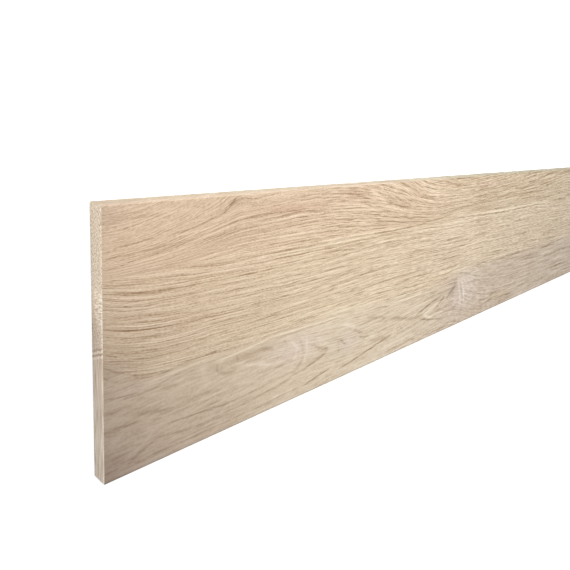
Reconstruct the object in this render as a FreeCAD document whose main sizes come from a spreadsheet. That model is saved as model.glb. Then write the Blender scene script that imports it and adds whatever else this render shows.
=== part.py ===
"""Stair riser board: one planed oak board with square-sawn ends and broken arrises.

The board lies flat with its show face up. X runs along its length, Y up its height on the stair
and Z through its thickness. The origin is the middle of its back face. All sizes are millimetres.
"""

import FreeCAD
import Part
import Sketcher

import os

PARTS_FOLDER = "parts"
BOARD_NAME = "riser_board"

# Each driving size: its alias in the sheet, its value and what it measures.
DRIVING_SIZES = (
    ("board_length", 1200.0, "along the stair's width, a stock length that is cut to fit"),
    ("board_height", 200.0, "from the tread below to the tread above"),
    ("board_thickness", 14.0, "from the back face to the show face"),
    ("arris_bevel", 0.6, "leg of the 45 degree bevel that breaks the arrises of both faces"),
)

# Two heights are taken as equal below this, when edges are picked by where they lie.
SAME_PLACE = 1e-6


def make_size_sheet(document):
    """Put the driving sizes in a spreadsheet, one aliased cell each."""
    sheet = document.addObject("Spreadsheet::Sheet", "sizes")
    for row, (alias, millimetres, meaning) in enumerate(DRIVING_SIZES, start=1):
        sheet.set(f"A{row}", alias)
        sheet.set(f"B{row}", str(millimetres))
        sheet.set(f"C{row}", meaning)
        sheet.setAlias(f"B{row}", alias)
    document.recompute()
    return sheet


def origin_plane(body, role):
    """Find one of the body's own origin planes, such as YZ_Plane."""
    return next(plane for plane in body.Origin.OriginFeatures if plane.Role == role)


def draw_section(body, sheet):
    """Draw the board's square section as it leaves the planer, standing on the back face."""
    sketch = body.newObject("Sketcher::SketchObject", "board_section")
    sketch.AttachmentSupport = [(origin_plane(body, "YZ_Plane"), "")]
    sketch.MapMode = "FlatFace"

    half_height = sheet.board_height / 2
    thickness = sheet.board_thickness
    corners = [
        FreeCAD.Vector(-half_height, 0, 0),
        FreeCAD.Vector(half_height, 0, 0),
        FreeCAD.Vector(half_height, thickness, 0),
        FreeCAD.Vector(-half_height, thickness, 0),
    ]
    for start, end in zip(corners, corners[1:] + corners[:1]):
        sketch.addGeometry(Part.LineSegment(start, end))
    back, top_edge, face, bottom_edge = range(len(corners))
    start_point, end_point = 1, 2
    origin_point = (-1, 1)

    for line in (back, top_edge, face, bottom_edge):
        next_line = (line + 1) % len(corners)
        sketch.addConstraint(Sketcher.Constraint("Coincident", line, end_point, next_line, start_point))
    for line in (back, face):
        sketch.addConstraint(Sketcher.Constraint("Horizontal", line))
    for line in (top_edge, bottom_edge):
        sketch.addConstraint(Sketcher.Constraint("Vertical", line))
    sketch.addConstraint(
        Sketcher.Constraint("Symmetric", back, start_point, back, end_point, *origin_point)
    )

    for name, kind, line, size in (
        ("height", "DistanceX", back, sheet.board_height),
        ("thickness", "DistanceY", top_edge, sheet.board_thickness),
    ):
        index = sketch.addConstraint(Sketcher.Constraint(kind, line, start_point, line, end_point, size))
        sketch.renameConstraint(index, name)
        sketch.setExpression(f"Constraints.{name}", f"sizes.board_{name}")
    return sketch


def saw_to_length(body, section):
    """Run the section along the board's length, the same distance each side of the middle."""
    blank = body.newObject("PartDesign::Pad", "sawn_blank")
    blank.Profile = section
    blank.SideType = "Symmetric"
    blank.setExpression("Length", "sizes.board_length")
    return blank


def face_edges(blank, sheet):
    """Name the edges that bound the back face and the show face of the sawn blank."""
    face_heights = (0.0, sheet.board_thickness)
    names = []
    for number, edge in enumerate(blank.Shape.Edges, start=1):
        edge_heights = [vertex.Z for vertex in edge.Vertexes]
        for face_height in face_heights:
            if all(abs(height - face_height) < SAME_PLACE for height in edge_heights):
                names.append(f"Edge{number}")
    return names


def break_arrises(body, blank, sheet):
    """Bevel the arrises round both faces, so that no edge is left sharp to the hand."""
    bevels = body.newObject("PartDesign::Chamfer", "broken_arrises")
    bevels.Base = (blank, face_edges(blank, sheet))
    bevels.setExpression("Size", "sizes.arris_bevel")
    return bevels


def make_riser_board(document, sheet):
    """Build the board the way it is made: plane the section, saw it to length, break the arrises."""
    board = document.addObject("PartDesign::Body", BOARD_NAME)
    board.Label = BOARD_NAME
    section = draw_section(board, sheet)
    blank = saw_to_length(board, section)
    document.recompute()
    board.Tip = break_arrises(board, blank, sheet)
    document.recompute()
    return board


def check(document, pieces):
    """Stop if an object of the document failed or a piece is not one sound solid."""
    for item in document.Objects:
        if "Invalid" in item.State or "Error" in item.State:
            raise RuntimeError(f"{item.Label} did not build: {item.State}")
    for piece in pieces:
        shape = piece.Shape
        if shape.isNull() or not shape.isValid() or len(shape.Solids) != 1:
            raise RuntimeError(f"{piece.Label} is not one sound solid")


def main():
    document = FreeCAD.newDocument("stair_riser_board")
    sheet = make_size_sheet(document)
    pieces = [make_riser_board(document, sheet)]
    check(document, pieces)

    os.makedirs(PARTS_FOLDER, exist_ok=True)
    for piece in pieces:
        piece.Shape.exportStep(os.path.join(PARTS_FOLDER, f"{piece.Label}.step"))
        print(f"{piece.Label}: {piece.Shape.Volume:.1f} mm3, {piece.Shape.BoundBox}")


main()
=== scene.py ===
"""Dresses the stair riser board in pale oak, lights it and looks at it from the photograph's place.

The board is one piece of oak with three strips of different figure: fanned grain along the top,
straight grain in the middle and cathedral grain along the bottom. The growth rings of each strip are
one formula. It is wired once into the board's shape, where it gives the grain its relief, and once
into the oak finish, where it gives the grain its colour, so that the two agree on every side.

Places on the board are millimetres along its length from the left end, up its height from the bottom
edge and through its thickness from the show face. Places in the scene are metres in the part's frame.
"""

from __future__ import annotations

import logging
import math
from abc import ABC, abstractmethod
from dataclasses import dataclass
from enum import Enum

import bpy
import numpy as np
from mathutils import Matrix, Vector

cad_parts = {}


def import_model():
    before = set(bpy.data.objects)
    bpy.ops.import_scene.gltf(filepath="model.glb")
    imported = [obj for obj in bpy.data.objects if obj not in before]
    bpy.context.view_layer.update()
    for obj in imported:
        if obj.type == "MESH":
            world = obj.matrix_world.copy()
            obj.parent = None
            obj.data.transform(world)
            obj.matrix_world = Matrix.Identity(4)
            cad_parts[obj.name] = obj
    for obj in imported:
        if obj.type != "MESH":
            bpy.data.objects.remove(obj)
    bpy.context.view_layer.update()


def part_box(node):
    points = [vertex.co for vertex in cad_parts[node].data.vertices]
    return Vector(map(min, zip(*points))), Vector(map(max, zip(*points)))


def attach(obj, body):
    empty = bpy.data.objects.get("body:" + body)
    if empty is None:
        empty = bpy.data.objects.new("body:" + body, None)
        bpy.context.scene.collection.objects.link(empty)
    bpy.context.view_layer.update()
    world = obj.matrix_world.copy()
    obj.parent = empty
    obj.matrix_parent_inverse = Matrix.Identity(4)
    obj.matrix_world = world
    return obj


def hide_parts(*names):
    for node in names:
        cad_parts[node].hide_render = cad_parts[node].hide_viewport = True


LOG = logging.getLogger("riser_board")

MM = 0.001
BOARD_NODE = "riser_board"
BODY = "root"

Colour = tuple[float, float, float, float]
Paint = Colour | bpy.types.NodeSocket


def srgb(red: int, green: int, blue: int) -> Colour:
    """Turn a colour as a screen shows it into the linear values that shaders use.

    Args:
        red: Red, from 0 to 255.
        green: Green, from 0 to 255.
        blue: Blue, from 0 to 255.

    Returns:
        The linear colour, with full alpha.
    """
    channels = []
    for value in (red, green, blue):
        share = value / 255
        channels.append(share / 12.92 if share <= 0.04045 else ((share + 0.055) / 1.055) ** 2.4)
    return (*channels, 1.0)


class Wire:
    """One number in a node tree, for writing formulas that become Math nodes."""

    def __init__(self, tree: bpy.types.NodeTree, socket: bpy.types.NodeSocket) -> None:
        """Hold an output socket and the tree that it is in."""
        self.tree = tree
        self.socket = socket

    def math(self, operation: str, *others: Term, clamp: bool = False) -> Wire:
        """Add a Math node that takes this number first.

        Args:
            operation: The node's operation, by Blender's name for it.
            others: The numbers for the node's other inputs.
            clamp: Whether the result is kept between 0 and 1.

        Returns:
            The node's result.
        """
        node = self.tree.nodes.new("ShaderNodeMath")
        node.operation = operation
        node.use_clamp = clamp
        for socket, term in zip(node.inputs, (self, *others)):
            plug(self.tree, socket, term)
        return Wire(self.tree, node.outputs[0])

    def __add__(self, other: Term) -> Wire:
        """Add a number."""
        return self.math("ADD", other)

    def __radd__(self, other: float) -> Wire:
        """Add to a plain number."""
        return self.math("ADD", other)

    def __sub__(self, other: Term) -> Wire:
        """Take a number away."""
        return self.math("SUBTRACT", other)

    def __rsub__(self, other: float) -> Wire:
        """Take away from a plain number."""
        return (self * -1.0) + other

    def __mul__(self, other: Term) -> Wire:
        """Multiply by a number."""
        return self.math("MULTIPLY", other)

    def __rmul__(self, other: float) -> Wire:
        """Multiply a plain number."""
        return self.math("MULTIPLY", other)

    def __truediv__(self, other: Term) -> Wire:
        """Divide by a number."""
        return self.math("DIVIDE", other)

    def abs(self) -> Wire:
        """Drop the sign."""
        return self.math("ABSOLUTE")

    def exp(self) -> Wire:
        """Raise e to this number."""
        return self.math("EXPONENT")

    def floor(self) -> Wire:
        """Round down."""
        return self.math("FLOOR")

    def power(self, exponent: float) -> Wire:
        """Raise this number, which is not negative, to a power."""
        return self.math("POWER", exponent)

    def at_least(self, low: Term) -> Wire:
        """Keep this number from going below another."""
        return self.math("MAXIMUM", low)

    def at_most(self, high: Term) -> Wire:
        """Keep this number from going above another."""
        return self.math("MINIMUM", high)

    def above(self, limit: Term) -> Wire:
        """Give 1 where this number is above a limit, and else 0."""
        return self.math("GREATER_THAN", limit)

    def ease(self, start: Term, end: Term) -> Wire:
        """Go smoothly from 0 at one value of this number to 1 at another.

        Args:
            start: The value that gives 0.
            end: The value that gives 1, which may be the lower one.

        Returns:
            The eased share.
        """
        node = self.tree.nodes.new("ShaderNodeMapRange")
        node.interpolation_type = "SMOOTHSTEP"
        node.clamp = False
        for name, term in (("Value", self), ("From Min", start), ("From Max", end)):
            plug(self.tree, node.inputs[name], term)
        return Wire(self.tree, node.outputs["Result"])

    def towards(self, other: Term, share: Term) -> Wire:
        """Go from this number to another by a share."""
        return self + (other - self) * share


Term = Wire | float


def plug(tree: bpy.types.NodeTree, socket: bpy.types.NodeSocket, term: Term) -> None:
    """Link a wire to a socket, or set the socket to a plain number.

    Args:
        tree: The tree that the socket is in.
        socket: An input socket.
        term: What goes into it.
    """
    if isinstance(term, Wire):
        tree.links.new(term.socket, socket)
    else:
        socket.default_value = term


def vector(tree: bpy.types.NodeTree, parts: tuple[Term, Term, Term]) -> bpy.types.NodeSocket:
    """Put three numbers together.

    Args:
        tree: The tree to add the node to.
        parts: The numbers, along X, Y and Z.

    Returns:
        The vector's output socket.
    """
    node = tree.nodes.new("ShaderNodeCombineXYZ")
    for socket, term in zip(node.inputs, parts):
        plug(tree, socket, term)
    return node.outputs[0]


def split(tree: bpy.types.NodeTree, socket: bpy.types.NodeSocket) -> list[Wire]:
    """Take a vector apart.

    Args:
        tree: The tree that the vector is in.
        socket: The vector's output socket.

    Returns:
        Its three numbers.
    """
    node = tree.nodes.new("ShaderNodeSeparateXYZ")
    tree.links.new(socket, node.inputs[0])
    return [Wire(tree, part) for part in node.outputs]


def noise(parts: tuple[Wire, Term, Term], detail: float = 1.0, roughness: float = 0.5) -> Wire:
    """Add smooth noise whose grains are one unit wide.

    Args:
        parts: Where in the noise each point lies. The last part tells patterns apart.
        detail: How many finer layers are added.
        roughness: How strong the finer layers are.

    Returns:
        The noise, around 0.5.
    """
    tree = parts[0].tree
    where = vector(tree, parts)
    node = tree.nodes.new("ShaderNodeTexNoise")
    tree.links.new(where, node.inputs["Vector"])
    node.inputs["Scale"].default_value = 1.0
    node.inputs["Detail"].default_value = detail
    node.inputs["Roughness"].default_value = roughness
    return Wire(tree, node.outputs["Fac"])


def chance(seed: Wire) -> Wire:
    """Give each number a random share of its own.

    Args:
        seed: The number.

    Returns:
        The share, from 0 to 1.
    """
    node = seed.tree.nodes.new("ShaderNodeTexWhiteNoise")
    node.noise_dimensions = "1D"
    seed.tree.links.new(seed.socket, node.inputs["W"])
    return Wire(seed.tree, node.outputs["Value"])


@dataclass(frozen=True)
class BoardSize:
    """The board's sizes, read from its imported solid.

    Attributes:
        length: Along X, in metres.
        height: Along Y, in metres.
        thickness: Along Z, in metres.
    """

    length: float
    height: float
    thickness: float

    @classmethod
    def read(cls) -> BoardSize:
        """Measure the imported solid."""
        low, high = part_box(BOARD_NODE)
        return cls(*(high - low))


@dataclass(frozen=True)
class Place:
    """Where a point is on the board, in millimetres.

    Attributes:
        along: From the left end.
        up: From the bottom edge.
        deep: From the show face.
    """

    along: Wire
    up: Wire
    deep: Wire

    @classmethod
    def read(cls, tree: bpy.types.NodeTree, position: bpy.types.NodeSocket, size: BoardSize) -> Place:
        """Measure a position in the part's frame from the board's own edges.

        Args:
            tree: The tree that the position is in.
            position: The position's socket, in metres.
            size: The board's sizes.

        Returns:
            The place, in millimetres.
        """
        x, y, z = split(tree, position)
        return cls(
            along=(x + size.length / 2) / MM,
            up=(y + size.height / 2) / MM,
            deep=(size.thickness - z) / MM,
        )


@dataclass(frozen=True)
class Fibres:
    """Noise drawn out along the grain.

    Attributes:
        length: How long a fibre is.
        width: How wide a fibre is.
        layer: A number that tells this noise from others.
        detail: How many finer layers are added.
    """

    length: float
    width: float
    layer: float
    detail: float = 1.0

    def at(self, along: Wire, run: Wire) -> Wire:
        """Give the noise at a distance along the board and one across its fibres."""
        return noise((along / self.length, run / self.width, self.layer), self.detail)


@dataclass(frozen=True)
class Clouds:
    """Soft noise that goes through the wood.

    Attributes:
        length: How long a cloud is, along the board.
        width: How wide and how deep a cloud is.
        layer: A number that tells this noise from others.
        detail: How many finer layers are added.
    """

    length: float
    width: float
    layer: float
    detail: float = 1.0

    def at(self, place: Place) -> Wire:
        """Give the noise at a point of the board."""
        where = (
            place.along / self.length,
            place.up / self.width,
            place.deep / self.width + self.layer,
        )
        return noise(where, self.detail)


@dataclass(frozen=True)
class Swell:
    """A smooth hump along the board, which may be steeper on one side.

    Attributes:
        middle: Where along the board it is highest.
        before: How far it reaches towards the left end.
        after: How far it reaches towards the right end.
        height: How high it is.
    """

    middle: float
    before: float
    after: float
    height: float

    def at(self, along: Wire) -> Wire:
        """Measure the hump.

        Args:
            along: How far along the board the point is.

        Returns:
            The hump's height there.
        """
        offset = along - self.middle
        left = (offset.at_most(0.0) / self.before).power(2.0)
        right = (offset.at_least(0.0) / self.after).power(2.0)
        return ((left + right) * -1.0).exp() * self.height


@dataclass(frozen=True)
class Step:
    """A smooth change along the board from nothing to a full height.

    Attributes:
        start: Where along the board it starts.
        end: Where it is complete, which may be nearer to the left end.
        height: How high it is.
    """

    start: float
    end: float
    height: float

    def at(self, along: Wire) -> Wire:
        """Give the height at a distance along the board."""
        return along.ease(self.start, self.end) * self.height


Profile = tuple[Swell | Step, ...]


def profile_at(base: float, profile: Profile, along: Wire) -> Wire:
    """Add humps and steps to a height.

    Args:
        base: The height that they are added to.
        profile: The humps and steps.
        along: How far along the board the point is.

    Returns:
        The height at that point.
    """
    height = profile[0].at(along) + base
    for shape in profile[1:]:
        height = height + shape.at(along)
    return height


@dataclass(frozen=True)
class Strip(ABC):
    """One strip of the board's figure.

    Attributes:
        ring_pitch: The usual width of a growth ring on the face.
        lean: How far a ring shifts up the face for each millimetre of depth.
        shift: A number added to the rings, so that no two strips have the same ones.
    """

    ring_pitch: float
    lean: float
    shift: float

    @abstractmethod
    def curve(self, place: Place) -> Wire:
        """Give a number that is the same all along a growth ring, in millimetres."""

    def rings(self, place: Place) -> Wire:
        """Give a number of millimetres that is the same all along a ring, through the board too."""
        return self.curve(place) + place.deep * self.lean + self.shift


@dataclass(frozen=True)
class FannedStrip(Strip):
    """Grain that crowds towards the strip's foot in places and fans out from there.

    Attributes:
        foot: Where the strip starts, up the board.
        reach: How far above the foot the crowding is felt.
        crowds: Where along the board the grain crowds, and by how much.
        bud: A small knot at the top edge that lifts the grain, as a hump along the board.
        bud_top: Where the bud is strongest, up the board.
        bud_reach: How far below that it is felt.
    """

    foot: float
    reach: float
    crowds: Profile
    bud: Swell
    bud_top: float
    bud_reach: float

    def curve(self, place: Place) -> Wire:
        """Follow the grain as it fans out.

        Args:
            place: The point.

        Returns:
            A number that is the same all along a growth ring.
        """
        over = (place.up - self.foot).at_least(0.0)
        share = 1.0 - (over / -self.reach).exp()
        crowding = profile_at(0.0, self.crowds, place.along)
        lift = ((place.up - self.bud_top) / self.bud_reach).exp() * self.bud.at(place.along)
        return place.up + crowding * share - lift


@dataclass(frozen=True)
class StraightStrip(Strip):
    """Straight grain that only bends near the left end.

    Attributes:
        head: Where the strip ends, up the board.
        bend: How far the grain is lifted at the left end, at the strip's head.
        bend_reach: How far along the board the bend is felt.
        bend_growth: The distance below the head over which the bend doubles.
        rise: A slow rise and fall along the board.
    """

    head: float
    bend: float
    bend_reach: float
    bend_growth: float
    rise: Swell

    def curve(self, place: Place) -> Wire:
        """Follow the grain as it bends and sways.

        Args:
            place: The point.

        Returns:
            A number that is the same all along a growth ring.
        """
        growth = 1.0 + (self.head - place.up).at_least(0.0) / self.bend_growth
        bend = (place.along / -self.bend_reach).exp() * growth * self.bend
        return place.up - bend - self.rise.at(place.along)


@dataclass(frozen=True)
class CathedralStrip(Strip):
    """Arched grain round an axis, with eyes where the rings come nearest to the face.

    Attributes:
        axis: Where the arches' middle line is at the left end, up the board.
        axis_profile: How the middle line goes from there.
        depth: How deep the rings' middle lies under an eye.
        depth_profile: How much deeper it lies elsewhere along the board.
        point: How pointed the arches are: 2 is round and 1 is a sharp V.
    """

    axis: float
    axis_profile: Profile
    depth: float
    depth_profile: Profile
    point: float

    def curve(self, place: Place) -> Wire:
        """Follow the grain round its axis.

        Args:
            place: The point.

        Returns:
            A number that is the same all along a growth ring.
        """
        middle = profile_at(self.axis, self.axis_profile, place.along)
        depth = profile_at(self.depth, self.depth_profile, place.along)
        beside = (place.up - middle).abs().power(self.point)
        return (beside + depth.power(self.point)).power(1.0 / self.point)


@dataclass(frozen=True)
class Stroke:
    """One line of the figure that stands out, drawn across the show face.

    Attributes:
        start: Where it starts, along and up the board.
        end: Where it ends, along and up the board.
        bow: How far its middle lies to the left of the straight way from start to end.
        width: How wide it is.
        tone: How dark it is, or how pale if below 0.
    """

    start: tuple[float, float]
    end: tuple[float, float]
    bow: float
    width: float
    tone: float


TOP_STROKES = (
    # The fan's upper line, which ends in the bud at the top edge.
    Stroke((-4, 169.8), (46, 177.5), 0.2, 2.2, 0.32),
    Stroke((-4, 163), (36, 172.5), 1, 2, 0.28),
    Stroke((44, 175.4), (66, 178.6), 0, 2.2, 0.42),
    Stroke((48, 173.8), (92, 179.8), 0, 2, -0.34),
    Stroke((-4, 166.3), (60, 171), -0.8, 2, 0.3),
    Stroke((56, 177), (98, 188.5), -0.8, 2.4, 0.42),
    Stroke((92, 186), (108, 201), -1.5, 2.4, 0.5),
    # The fan's lower line, over the crown and down into the bowl.
    Stroke((-4, 157.5), (84, 175), 0, 2, 0.36),
    Stroke((72, 172.5), (138, 184), 1, 2.4, 0.42),
    Stroke((122, 183.5), (196, 181.5), 0.8, 2.8, 0.38),
    Stroke((180, 182), (250, 175.5), 0.3, 2.2, 0.34),
    Stroke((240, 177), (292, 169.6), -0.3, 2.6, 0.5),
    Stroke((282, 170.6), (342, 162.6), -0.5, 2.6, 0.52),
    Stroke((330, 163.8), (404, 158.2), -0.6, 2.6, 0.5),
    Stroke((286, 166), (332, 159.3), -0.3, 2.4, 0.44),
    Stroke((324, 160), (400, 154), -0.5, 2.4, 0.48),
    Stroke((204, 166.8), (262, 161.8), 0, 2, 0.34),
    Stroke((198, 174.6), (262, 166.8), 0, 2, 0.32),
    # Lines beside it.
    Stroke((24, 196.8), (36, 199.6), 0, 2.4, 0.3),
    Stroke((-1, 197.6), (6, 199.6), 0, 2, 0.3),
    Stroke((22, 189), (44, 192.2), 0, 2.4, 0.2),
    Stroke((12, 182.6), (20, 184.9), 0, 2.2, 0.22),
    Stroke((64, 153.5), (118, 161.5), 1, 2.2, -0.36),
    Stroke((106, 161), (210, 162.5), 1.6, 2.2, -0.34),
    Stroke((78, 154.5), (140, 160), 0.8, 1.8, 0.3),
    Stroke((220, 185), (280, 178.5), 1.5, 2.6, -0.42),
    Stroke((224, 194.5), (274, 187.5), 0.5, 4, 0.3),
    # The bowl.
    Stroke((266, 199), (312, 174.6), 0.8, 6.4, -0.42),
    Stroke((292, 199.5), (312, 186), -1, 2.4, 0.36),
    Stroke((305, 191.8), (352, 174.8), -0.9, 2.2, 0.42),
    Stroke((255, 182), (297, 171.8), 0.4, 2.2, -0.3),
    Stroke((255, 186), (288, 176), 0.6, 2.4, 0.34),
    Stroke((322, 177), (378, 171.5), -0.8, 2.6, 0.38),
    Stroke((370, 172), (420, 168), -0.5, 2.8, 0.4),
    Stroke((412, 168), (464, 174.5), -0.8, 2.4, 0.34),
    Stroke((404, 158.3), (462, 163), -0.4, 2.2, 0.36),
    Stroke((444, 162), (500, 164), 0.5, 2.8, 0.5),
    Stroke((340, 180.5), (372, 179.5), 0, 2.4, 0.32),
    Stroke((346, 199), (406, 188), -1, 2.6, 0.42),
    Stroke((333, 194.6), (369, 182), -0.6, 2.4, -0.36),
    Stroke((338, 192.4), (373, 180.2), -0.5, 2.2, 0.3),
    Stroke((329, 187.6), (368, 178.8), -0.4, 2.2, -0.28),
    Stroke((405, 198.4), (434, 194.6), -0.2, 2.2, 0.5),
    Stroke((426, 194), (458, 191.2), -0.3, 2.2, 0.3),
    Stroke((374, 184), (460, 181), -0.6, 2.8, -0.42),
    Stroke((455, 154.5), (480, 155.5), 0, 3, -0.4),
    # Past the bowl.
    Stroke((494, 174.5), (612, 179), 0.6, 2.6, 0.32),
    Stroke((522, 173.6), (541, 173), 0, 3, 0.26),
    Stroke((523, 170.8), (543, 170.8), 0, 3.2, -0.36),
    Stroke((612, 179.5), (640, 178.5), 0, 4, 0.42),
    Stroke((634, 175.2), (714, 175), 0, 3.2, 0.4),
    Stroke((582, 166.3), (642, 170), 0, 2.6, 0.4),
    Stroke((630, 169.8), (724, 171.2), 0, 3.2, 0.5),
    Stroke((556, 163.8), (644, 166.2), 0.2, 2.6, -0.4),
    Stroke((492, 165.4), (556, 168.8), 0.4, 2.6, 0.4),
    Stroke((548, 168.6), (640, 171.3), 0, 2.6, 0.34),
    # The joint, dark at first and then a pale line.
    Stroke((290, 150.9), (372, 151.4), -0.5, 2.6, 0.56),
    Stroke((362, 151.2), (448, 157.3), -0.4, 2.6, 0.56),
    Stroke((262, 153.6), (340, 152.6), 0, 2.4, -0.4),
    Stroke((452, 153.4), (572, 151.6), 0, 3.4, -0.55),
    Stroke((540, 151.8), (636, 151), 0, 4, -0.8),
    Stroke((604, 151), (770, 155.5), -1.2, 4, -0.8),
    Stroke((520, 149.4), (604, 148), 0, 3, 0.34),
    Stroke((576, 148.2), (646, 148.4), 0, 3.2, 0.46),
    Stroke((624, 148.2), (730, 150.5), -0.3, 3.2, 0.46),
    Stroke((530, 155.4), (616, 155), 0, 3, 0.3),
)

MIDDLE_STROKES = (
    # Lines that drop away from the left end.
    Stroke((-4, 148.4), (90, 141.3), -0.4, 2.2, 0.4),
    Stroke((-4, 143.6), (90, 137), -1.2, 2.4, 0.42),
    Stroke((6, 136), (80, 130.8), -0.9, 2.2, 0.38),
    Stroke((-4, 134.4), (50, 126), 0.6, 1.8, 0.26),
    Stroke((-4, 126.8), (92, 114.3), -0.8, 2.2, 0.4),
    Stroke((-4, 122.8), (44, 115.4), 0.3, 2, 0.32),
    Stroke((6, 117), (48, 110), -0.6, 2.2, 0.36),
    Stroke((-4, 106.5), (34, 95), -0.8, 2.4, 0.38),
    # The long line under the joint.
    Stroke((78, 137), (130, 136.5), 0, 2, 0.36),
    Stroke((108, 137), (178, 136), 0, 2.6, 0.5),
    Stroke((170, 136), (262, 137.5), 0, 2, 0.36),
    Stroke((248, 137.6), (352, 137.8), 0.9, 2.6, 0.52),
    Stroke((342, 137.8), (424, 137.4), 0, 2.4, 0.4),
    Stroke((210, 140.8), (264, 140.6), 0, 2.4, 0.44),
    Stroke((274, 126.6), (352, 123), -0.5, 2.4, 0.42),
    Stroke((336, 115), (462, 117.4), 0.2, 2.4, 0.42),
    Stroke((212, 122.8), (264, 124), 0, 2.4, 0.4),
    # Two lines lower down and the dashes that follow them.
    Stroke((38, 110.5), (108, 108), -0.4, 2.2, 0.34),
    Stroke((98, 108), (182, 110.5), -0.3, 2.2, 0.36),
    Stroke((262, 109.5), (340, 114), 0.3, 2.4, 0.42),
    Stroke((398, 113.8), (434, 113.7), 0, 2.4, 0.42),
    Stroke((466, 113.7), (504, 113.8), 0, 3, 0.46),
    Stroke((515, 123.6), (556, 124.6), 0, 2.8, 0.42),
    Stroke((440, 102.3), (500, 102), 0, 2.6, 0.4),
    Stroke((24, 98), (62, 93), -1, 2.4, 0.4),
    Stroke((52, 93), (140, 94), -0.6, 2.4, 0.4),
    Stroke((128, 94), (166, 95.2), 0, 3, 0.55),
    Stroke((176, 99.3), (204, 99.5), 0, 3, -0.36),
    Stroke((211, 94), (238, 93.7), 0, 2.4, 0.42),
    Stroke((246, 96), (272, 96), 0, 2.2, 0.34),
    Stroke((290, 97), (345, 96.3), 0, 2.2, 0.42),
    Stroke((336, 96.6), (392, 95.5), 0, 2.2, 0.42),
    Stroke((312, 99.3), (388, 98.8), 0, 2.2, -0.38),
    # Along the foot of the strip.
    Stroke((-4, 98.5), (24, 91), -0.6, 2.2, 0.34),
    Stroke((22, 91), (62, 87.2), 0.4, 2.2, 0.34),
    Stroke((58, 87.2), (94, 91.2), -0.4, 2.2, 0.36),
    Stroke((96, 86), (186, 90.5), -0.6, 2, 0.36),
    Stroke((176, 82.5), (222, 80.3), 0, 3, 0.42),
    Stroke((186, 84.8), (240, 85.2), 0, 3.4, -0.36),
    Stroke((268, 90.7), (290, 91.3), 0, 3, 0.6),
    Stroke((290, 87.3), (345, 86.8), 0, 3.4, -0.36),
    Stroke((342, 88), (376, 88.8), 0, 3.4, 0.5),
    Stroke((390, 89.6), (426, 90.4), 0, 2.4, 0.5),
    Stroke((466, 88.8), (488, 88.8), 0, 2.8, 0.4),
    Stroke((592, 92), (616, 92), 0, 2.6, 0.4),
    Stroke((624, 88.8), (640, 88.8), 0, 4, 0.5),
)

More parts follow.
